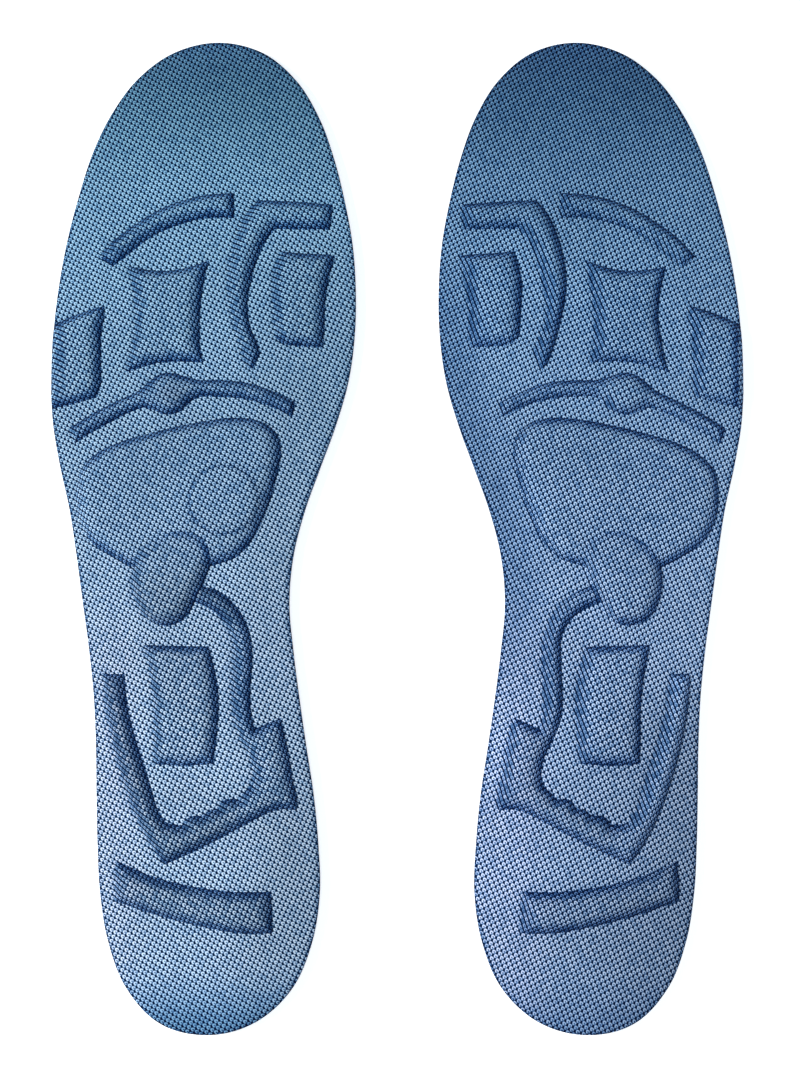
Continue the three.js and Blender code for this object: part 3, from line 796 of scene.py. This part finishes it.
# ---------------------------------------------------------------- slabs: foam base and backing
def build_slab(name, side, material, profile, step, dimple=None):
    """profile is (z, inset) from the bottom ring up. Caps are filled with an even grid, so that the slab can bend."""
    loop = resample(OUT, 0.9)
    n = len(loop)
    ring_xy = [offset_loop(loop, d) for _, d in profile]
    ring_co = [place(xy, np.full(n, z), side) for xy, (z, _) in zip(ring_xy, profile)]
    co, quads = rings(ring_co)
    top_xy, top_tri = fill_loop(ring_xy[-1], step)
    low_xy, low_tri = fill_loop(ring_xy[0], step)
    top_z = np.full(len(top_xy), profile[-1][0])
    low_z = np.full(len(low_xy), profile[0][0])
    extra_top = place(top_xy[n:], top_z[n:], side)
    extra_low = place(low_xy[n:], low_z[n:], side)
    last = (len(profile) - 1) * n
    base_t = len(co)
    base_l = base_t + len(extra_top)
    tt = np.where(top_tri < n, top_tri + last, top_tri - n + base_t)
    tl = np.where(low_tri < n, low_tri, low_tri - n + base_l)
    co = np.vstack([co, extra_top, extra_low])
    ob = make_object(name, co, [quads, tt, tl[:, ::-1]], side, None, material, sharp_angle=50)
    return ob


# ---------------------------------------------------------------- pads
PAD_CLEAR = 0.75


def pad_field(name):
    f = DIST[name].astype(np.float64) - PAD_CLEAR
    if name in (DOME, FRAME_PAD):
        f = np.minimum(f, -(DIST[BUTTON].astype(np.float64) - PAD_CLEAR) - 0.35)
    if name == "lateral_forefoot_pad":
        f = np.minimum(f, RIM.astype(np.float64) - 1.6)
    return f


PAD_SHAPES = {}
for _name in ZONES:
    _loop = resample(contour(pad_field(_name)), 0.7)
    PAD_SHAPES[_name] = _loop


def build_pad(label, name, side, material):
    loop = PAD_SHAPES[name]
    n = len(loop)
    top_xy, top_tri = fill_loop(loop, 0.8)
    low_xy, low_tri = fill_loop(offset_loop(loop, 0.12), 1.6)
    lift = np.clip(sample(RELIEF_PAD, top_xy) - 0.1, 0.3, None)
    notch = sample(DIST[BUTTON], top_xy)
    if name in (DOME, FRAME_PAD):
        # below the button's wall the pad keeps its own height
        lift = np.minimum(lift, RISE - 0.05 + 0.25)
    limit = cover_top(top_xy) - BASE_TOP - COVER - 0.1
    lift = np.minimum(lift, np.clip(limit, 0.25, None))
    top_z = BASE_TOP + lift
    edge_z = top_z[:n].copy()
    # rounded shoulder, upright cut wall and a small foot
    shoulder = place(loop, edge_z - 0.05, side)
    wall_xy = offset_loop(loop, -0.05)
    waist = place(wall_xy, BASE_TOP + 0.45 * (edge_z - BASE_TOP), side)
    foot = place(offset_loop(loop, 0.12), np.full(n, BASE_TOP + 0.015), side)
    inner_top = place(top_xy[n:], top_z[n:], side)
    inner_low = place(low_xy[n:], np.full(len(low_xy) - n, BASE_TOP + 0.015), side)
    co, quads = rings([foot, waist, shoulder])
    bt = len(co)
    bl = bt + len(inner_top)
    tt = np.where(top_tri < n, top_tri + 2 * n, top_tri - n + bt)
    tl = np.where(low_tri < n, low_tri, low_tri - n + bl)
    co = np.vstack([co, inner_top, inner_low])
    return make_object(f"{label}_{name}_foam", co, [quads, tt, tl[:, ::-1]], side, None, material, sharp_angle=70)


# ---------------------------------------------------------------- materials
class Nodes:
    """Small helper that makes and joins shader nodes."""

    def __init__(self, name):
        self.mat = bpy.data.materials.new(name)
        self.mat.use_nodes = True
        self.nt = self.mat.node_tree
        self.nt.nodes.clear()
        self.out = self.nt.nodes.new("ShaderNodeOutputMaterial")
        self.bsdf = self.nt.nodes.new("ShaderNodeBsdfPrincipled")
        self.link(self.bsdf.outputs[0], self.out.inputs["Surface"])

    def link(self, a, b):
        self.nt.links.new(a, b)

    def put(self, socket, value):
        if hasattr(value, "links"):
            self.link(value, socket)
        else:
            socket.default_value = value

    def math(self, op, a, b=0.0, c=0.0, clamp=False):
        n = self.nt.nodes.new("ShaderNodeMath")
        n.operation = op
        n.use_clamp = clamp
        for s, v in zip(n.inputs, (a, b, c)):
            self.put(s, v)
        return n.outputs[0]

    def step(self, x, a, b):
        n = self.nt.nodes.new("ShaderNodeMapRange")
        n.interpolation_type = "SMOOTHSTEP"
        self.put(n.inputs["Value"], x)
        n.inputs["From Min"].default_value = a
        n.inputs["From Max"].default_value = b
        return n.outputs["Result"]

    def noise(self, vector, scale, detail=2.0, rough=0.5):
        n = self.nt.nodes.new("ShaderNodeTexNoise")
        self.put(n.inputs["Vector"], vector)
        n.inputs["Scale"].default_value = scale
        n.inputs["Detail"].default_value = detail
        n.inputs["Roughness"].default_value = rough
        return n.outputs["Fac"]

    def voronoi(self, vector, scale, feature="F1"):
        n = self.nt.nodes.new("ShaderNodeTexVoronoi")
        n.feature = feature
        self.put(n.inputs["Vector"], vector)
        n.inputs["Scale"].default_value = scale
        return n.outputs["Distance"]

    def ramp(self, fac, stops):
        n = self.nt.nodes.new("ShaderNodeValToRGB")
        self.put(n.inputs["Fac"], fac)
        el = n.color_ramp.elements
        el[0].position, el[0].color = stops[0][0], (*stops[0][1], 1)
        el[1].position, el[1].color = stops[-1][0], (*stops[-1][1], 1)
        for pos, col in stops[1:-1]:
            e = el.new(pos)
            e.color = (*col, 1)
        return n.outputs["Color"]

    def scale_colour(self, colour, factor):
        n = self.nt.nodes.new("ShaderNodeVectorMath")
        n.operation = "SCALE"
        self.link(colour, n.inputs[0])
        self.put(n.inputs["Scale"], factor)
        return n.outputs[0]

    def rest(self):
        n = self.nt.nodes.new("ShaderNodeAttribute")
        n.attribute_name = "rest"
        return n.outputs["Vector"]

    def attribute(self, name, output="Fac"):
        n = self.nt.nodes.new("ShaderNodeAttribute")
        n.attribute_name = name
        return n.outputs[output]

    def moved(self, vector, by):
        n = self.nt.nodes.new("ShaderNodeVectorMath")
        n.operation = "ADD"
        self.link(vector, n.inputs[0])
        n.inputs[1].default_value = (by, by, by)
        return n.outputs[0]

    def bump(self, height, distance, strength=1.0, below=None):
        n = self.nt.nodes.new("ShaderNodeBump")
        n.inputs["Distance"].default_value = distance
        n.inputs["Strength"].default_value = strength
        self.put(n.inputs["Height"], height)
        if below is not None:
            self.link(below, n.inputs["Normal"])
        return n.outputs[0]


def knit_material(label, gain, middle):
    """gain is the contrast between puffs and openings: the right cover, turned to the light, shows a little less.
    middle sets the overall tone: the right cover's lower middle is painted shade, as it lies farther from the lamp.
    """
    m = Nodes(f"stretch_mesh_knit_{label}")
    uv = m.nt.nodes.new("ShaderNodeUVMap")
    uv.uv_map = "weave"
    sep = m.nt.nodes.new("ShaderNodeSeparateXYZ")
    m.link(uv.outputs[0], sep.inputs[0])
    rest = m.rest()
    stretch_and_shade, crease_shade, rim, on_pad, drawn = (m.attribute(n) for n in ("stretch_and_shade", "crease_shade", "rim", "on_pad", "drawn"))
    # small irregularities of the yarn
    a = m.math("ADD", sep.outputs["X"], m.math("MULTIPLY_ADD", m.noise(rest, 0.5, 2.0), 0.2, -0.1))
    b = m.math("ADD", sep.outputs["Y"], m.math("MULTIPLY_ADD", m.noise(m.moved(rest, 61.0), 0.5, 2.0), 0.2, -0.1))

    def wave(ka, kb, phase, amplitude):
        arg = m.math("MULTIPLY_ADD", a, ka * 2 * math.pi, phase)
        arg = m.math("MULTIPLY_ADD", b, -kb * 2 * math.pi, arg)
        return m.math("MULTIPLY", m.math("COSINE", arg), amplitude)

    # one stitch: a slanted opening at the corners of the lattice, a round puff of yarn between
    h = m.math("ADD", wave(1, 0, 0.0, -0.31), wave(2, 0, 0.0, -0.20))
    cross = wave(0, 1, 0.0, -0.29)
    for term in ((1, 1, math.radians(-132), 0.15), (1, -1, math.radians(140), 0.24), (0, 2, 0.0, -0.09),
                 (2, 1, math.radians(-12), 0.10), (1, 2, math.radians(-30), 0.09)):
        cross = m.math("ADD", cross, wave(*term))
    # drawn over an open wall, the puffs of a row run together and the gaps between rows open into lines
    h = m.math("ADD", m.math("MULTIPLY", h, m.math("MULTIPLY_ADD", drawn, 0.38, 1.0)),
               m.math("MULTIPLY", cross, m.math("MULTIPLY_ADD", drawn, -0.48, 1.0)))
    # each puff a little different from the next
    cell = m.nt.nodes.new("ShaderNodeCombineXYZ")
    m.link(m.math("FLOOR", a), cell.inputs[0])
    m.link(m.math("FLOOR", b), cell.inputs[1])
    white = m.nt.nodes.new("ShaderNodeTexWhiteNoise")
    white.noise_dimensions = "2D"
    m.link(cell.outputs[0], white.inputs["Vector"])
    puff = m.step(h, -0.1, 0.35)
    vary = m.math("MULTIPLY", m.math("MULTIPLY_ADD", white.outputs["Value"], 0.26, -0.13), puff)
    size = m.math("MULTIPLY_ADD", m.noise(rest, 1.4, 1.0), 0.22, -0.11)
    h = m.math("ADD", m.math("ADD", h, vary), size)
    # on a wall the openings are drawn wider, with painted shade on the walls facing away from the lamp; the dark line
    # at each groove is painted shade, at the rim the yarn is darker, and on a pad it is a little darker, partly painted
    # shade
    shift = m.math("MULTIPLY_ADD", stretch_and_shade, -0.21, m.math("MULTIPLY", crease_shade, -0.26))
    shift = m.math("MULTIPLY_ADD", drawn, -0.15, shift)
    shift = m.math("ADD", shift, m.math("MULTIPLY", rim, -0.30))
    shift = m.math("ADD", shift, m.math("MULTIPLY", on_pad, -0.05))
    h = m.math("ADD", h, shift)
    h01 = m.math("MULTIPLY_ADD", h, gain, middle, clamp=True)
    # filaments of the yarn
    fil = m.math("SINE", m.math("MULTIPLY_ADD", a, 23.0, m.math("MULTIPLY", b, 41.0)))
    fine = m.noise(rest, 9.0, 3.0, 0.6)
    tone = m.math("MULTIPLY_ADD", fil, 0.03, m.math("MULTIPLY_ADD", fine, 0.30, 0.86))
    slow = m.math("MULTIPLY_ADD", m.noise(rest, 0.045, 3.0), 0.24, 0.88)
    tone = m.math("MULTIPLY", tone, slow)
    colour = m.ramp(h01, [
        (0.0, (0.0006, 0.0080, 0.036)),
        (0.14, (0.0016, 0.018, 0.070)),
        (0.32, (0.016, 0.076, 0.190)),
        (0.55, (0.114, 0.232, 0.398)),
        (0.78, (0.320, 0.480, 0.700)),
        (1.0, (0.700, 0.810, 0.940)),
    ])
    # a little darker on the pads, partly painted shade
    tone = m.math("MULTIPLY", tone, m.math("MULTIPLY_ADD", on_pad, -0.03, 1.0))
    toned_and_shaded = m.nt.nodes.new("ShaderNodeVectorMath")
    toned_and_shaded.operation = "MULTIPLY"
    m.link(m.scale_colour(colour, tone), toned_and_shaded.inputs[0])
    m.link(m.attribute("tone_and_shade", "Vector"), toned_and_shaded.inputs[1])
    # cloth drawn over a wall shows more of the navy ground; on walls facing away from the lamp this navy tint is
    # painted shade
    tight_and_shade = m.nt.nodes.new("ShaderNodeMix")
    tight_and_shade.data_type = "RGBA"
    tight_and_shade.blend_type = "MULTIPLY"
    m.link(stretch_and_shade, tight_and_shade.inputs["Factor"])
    m.link(toned_and_shaded.outputs[0], tight_and_shade.inputs[6])
    tight_and_shade.inputs[7].default_value = (0.58, 0.76, 0.98, 1)
    m.link(tight_and_shade.outputs[2], m.bsdf.inputs["Base Color"])
    m.link(m.math("MULTIPLY_ADD", h01, -0.22, 0.92), m.bsdf.inputs["Roughness"])
    m.bsdf.inputs["Specular IOR Level"].default_value = 0.06
    m.bsdf.inputs["Sheen Weight"].default_value = 0.02
    m.bsdf.inputs["Sheen Roughness"].default_value = 0.45
    m.bsdf.inputs["Sheen Tint"].default_value = (0.75, 0.86, 1.0, 1)
    height = m.math("MULTIPLY_ADD", fil, 0.03, m.math("MULTIPLY_ADD", fine, 0.10, h01))
    m.link(m.bump(height, 0.00030, 0.8), m.bsdf.inputs["Normal"])
    return m.mat


def foam_material(name, dark, light, pore, bump=0.00016, rough=0.86):
    m = Nodes(name)
    rest = m.rest()
    cells = m.voronoi(rest, 1.0 / pore)
    small = m.voronoi(rest, 2.3 / pore)
    pores = m.math("MULTIPLY_ADD", m.step(cells, 0.08, 0.42), 0.6, m.math("MULTIPLY", m.step(small, 0.05, 0.45), 0.4))
    slow = m.noise(rest, 0.09, 3.0)
    tone = m.math("MULTIPLY_ADD", slow, 0.3, m.math("MULTIPLY", pores, 0.72), clamp=True)
    colour = m.ramp(tone, [(0.0, dark), (0.55, tuple(0.5 * (a + b) for a, b in zip(dark, light))), (1.0, light)])
    m.link(colour, m.bsdf.inputs["Base Color"])
    m.link(m.math("MULTIPLY_ADD", pores, -0.12, rough + 0.06), m.bsdf.inputs["Roughness"])
    m.bsdf.inputs["Specular IOR Level"].default_value = 0.3
    m.link(m.bump(pores, bump, 0.8), m.bsdf.inputs["Normal"])
    return m.mat


def felt_material():
    m = Nodes("backing_felt")
    rest = m.rest()
    fibres = m.noise(rest, 5.5, 5.0, 0.65)
    sep = m.nt.nodes.new("ShaderNodeSeparateXYZ")
    m.link(rest, sep.inputs[0])
    # rows of small raised grip dots, staggered, 3.2 mm apart
    u = m.math("MULTIPLY", m.math("ADD", sep.outputs["X"], sep.outputs["Y"]), 1 / 4.5)
    v = m.math("MULTIPLY", m.math("SUBTRACT", sep.outputs["X"], sep.outputs["Y"]), 1 / 4.5)
    fu = m.math("SUBTRACT", m.math("FRACT", u), 0.5)
    fv = m.math("SUBTRACT", m.math("FRACT", v), 0.5)
    r = m.math("SQRT", m.math("ADD", m.math("MULTIPLY", fu, fu), m.math("MULTIPLY", fv, fv)))
    dots = m.step(r, 0.27, 0.19)
    colour = m.ramp(m.math("MULTIPLY_ADD", fibres, 0.9, m.math("MULTIPLY", dots, -0.22)), [
        (0.15, (0.010, 0.016, 0.030)), (0.5, (0.030, 0.048, 0.085)), (0.85, (0.070, 0.100, 0.155))])
    m.link(colour, m.bsdf.inputs["Base Color"])
    m.link(m.math("MULTIPLY_ADD", dots, -0.35, 0.93), m.bsdf.inputs["Roughness"])
    m.bsdf.inputs["Specular IOR Level"].default_value = 0.35
    m.bsdf.inputs["Sheen Weight"].default_value = 0.15
    low = m.bump(fibres, 0.00012, 0.8)
    m.link(m.bump(dots, 0.00025, 0.9, low), m.bsdf.inputs["Normal"])
    return m.mat


# the right copy's lower middle is painted shade: that cover lies farther from the lamp
KNIT = {"left": knit_material("left", 1.34, 0.545), "right": knit_material("right", 1.28, 0.528)}
BOARD = foam_material("board_foam", (0.035, 0.085, 0.175), (0.105, 0.200, 0.345), 0.55)
PAD = foam_material("pad_foam", (0.200, 0.285, 0.430), (0.420, 0.530, 0.700), 0.7, 0.0002, 0.82)
FELT = felt_material()

# ---------------------------------------------------------------- build both insoles
for label, side in (("left", -1), ("right", 1)):
    rear, fore = f"{label}_rearfoot", f"{label}_forefoot"

    cover = build_cover(label, side, KNIT[label], ring=(label == "left"))
    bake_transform(cover)
    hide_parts(f"{label}_top_cover_rear", f"{label}_top_cover_fore")

    board = build_slab(f"{label}_foam_board", side, BOARD,
                       [(0.51, 0.30), (0.80, 0.10), (1.6, 0.04), (2.6, 0.06), (3.3, 0.12), (3.59, 0.22)], 2.2)
    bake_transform(board)
    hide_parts(f"{label}_foam_base_rear", f"{label}_foam_base_fore")

    backing = build_slab(f"{label}_backing_felt", side, FELT,
                         [(0.0, 0.25), (0.12, 0.10), (0.38, 0.06), (0.50, 0.14)], 2.6)
    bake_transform(backing)
    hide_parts(f"{label}_backing_rear", f"{label}_backing_fore")

    for name in ZONES:
        pad = build_pad(label, name, side, PAD)
        if name in REAR_PADS:
            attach(pad, rear)
        else:
            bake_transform(pad)
        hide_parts(f"{label}_{name}")

# ---------------------------------------------------------------- floor, camera, light
def build_floor():
    n = 33
    g = np.linspace(-1, 1, n)
    x, y = np.meshgrid(g * 1.9, g * 1.9)
    r = np.hypot(x, y)
    z = 1.0 * smoothstep(0.95, 2.3, r) - 0.0002
    co = np.c_[x.ravel(), y.ravel(), z.ravel()]
    i = np.arange(n - 1)
    a = (i[:, None] * n + i[None, :]).ravel()
    quads = np.c_[a, a + 1, a + n + 1, a + n]
    me = bpy.data.meshes.new("floor")
    me.from_pydata(co.tolist(), [], quads.tolist())
    for p in me.polygons:
        p.use_smooth = True
    ob = bpy.data.objects.new("floor", me)
    bpy.context.scene.collection.objects.link(ob)
    m = Nodes("floor_paper")
    m.bsdf.inputs["Base Color"].default_value = (0.93, 0.935, 0.94, 1)
    m.bsdf.inputs["Roughness"].default_value = 0.9
    m.bsdf.inputs["Specular IOR Level"].default_value = 0.1
    m.bsdf.inputs["Emission Color"].default_value = (1, 1, 1, 1)
    # brightest under the insoles, fading up the raised edge
    glow = me.attributes.new("glow", "FLOAT", "POINT")
    glow.data.foreach_set("value", (0.55 - 0.36 * smoothstep(0.75, 1.5, r)).ravel().astype(np.float32))
    m.link(m.attribute("glow"), m.bsdf.inputs["Emission Strength"])
    me.materials.append(m.mat)
    return ob


build_floor()

TILT = math.radians(8.3)
TARGET = Vector((0.00074, -0.00583, 0.0))
FORWARD = Vector((0, math.sin(TILT), -math.cos(TILT)))
cam_data = bpy.data.cameras.new("camera")
cam = bpy.data.objects.new("camera", cam_data)
bpy.context.scene.collection.objects.link(cam)
cam.location = TARGET - 0.430 * FORWARD
cam.rotation_euler = FORWARD.to_track_quat("-Z", "Y").to_euler()
cam_data.sensor_fit = "AUTO"
cam_data.sensor_width = 36.0
cam_data.lens = 36.0 * (430.0 / 0.2671) / 1080.0
cam_data.clip_start = 0.01
cam_data.clip_end = 20
bpy.context.scene.camera = cam


def add_light(kind, name, location, target, energy, size=0.3, colour=(1, 1, 1), angle=0.3, cone=45, radius=0.1):
    data = bpy.data.lights.new(name, kind)
    data.energy = energy
    data.color = colour
    if kind == "AREA":
        data.shape = "DISK"
        data.size = size
    if kind == "SUN":
        data.angle = angle
    if kind == "SPOT":
        data.spot_size = math.radians(cone)
        data.spot_blend = 1.0
        data.shadow_soft_size = radius
    ob = bpy.data.objects.new(name, data)
    bpy.context.scene.collection.objects.link(ob)
    ob.location = location
    ob.rotation_euler = (Vector(target) - Vector(location)).to_track_quat("-Z", "Y").to_euler()
    return ob


add_light("SPOT", "window", (-0.86, -0.01, 0.90), (-0.04, -0.075, 0), 57.0, cone=36, radius=0.12)
add_light("AREA", "top_soft", (0.15, -0.25, 0.9), (0, -0.02, 0), 3.0, size=0.8)

world = bpy.data.worlds.new("world")
world.use_nodes = True
world.node_tree.nodes["Background"].inputs[0].default_value = (0.58, 0.80, 1.0, 1)
world.node_tree.nodes["Background"].inputs[1].default_value = 0.29
bpy.context.scene.world = world
bpy.context.scene.view_settings.view_transform = "Standard"
bpy.context.scene.view_settings.look = "None"
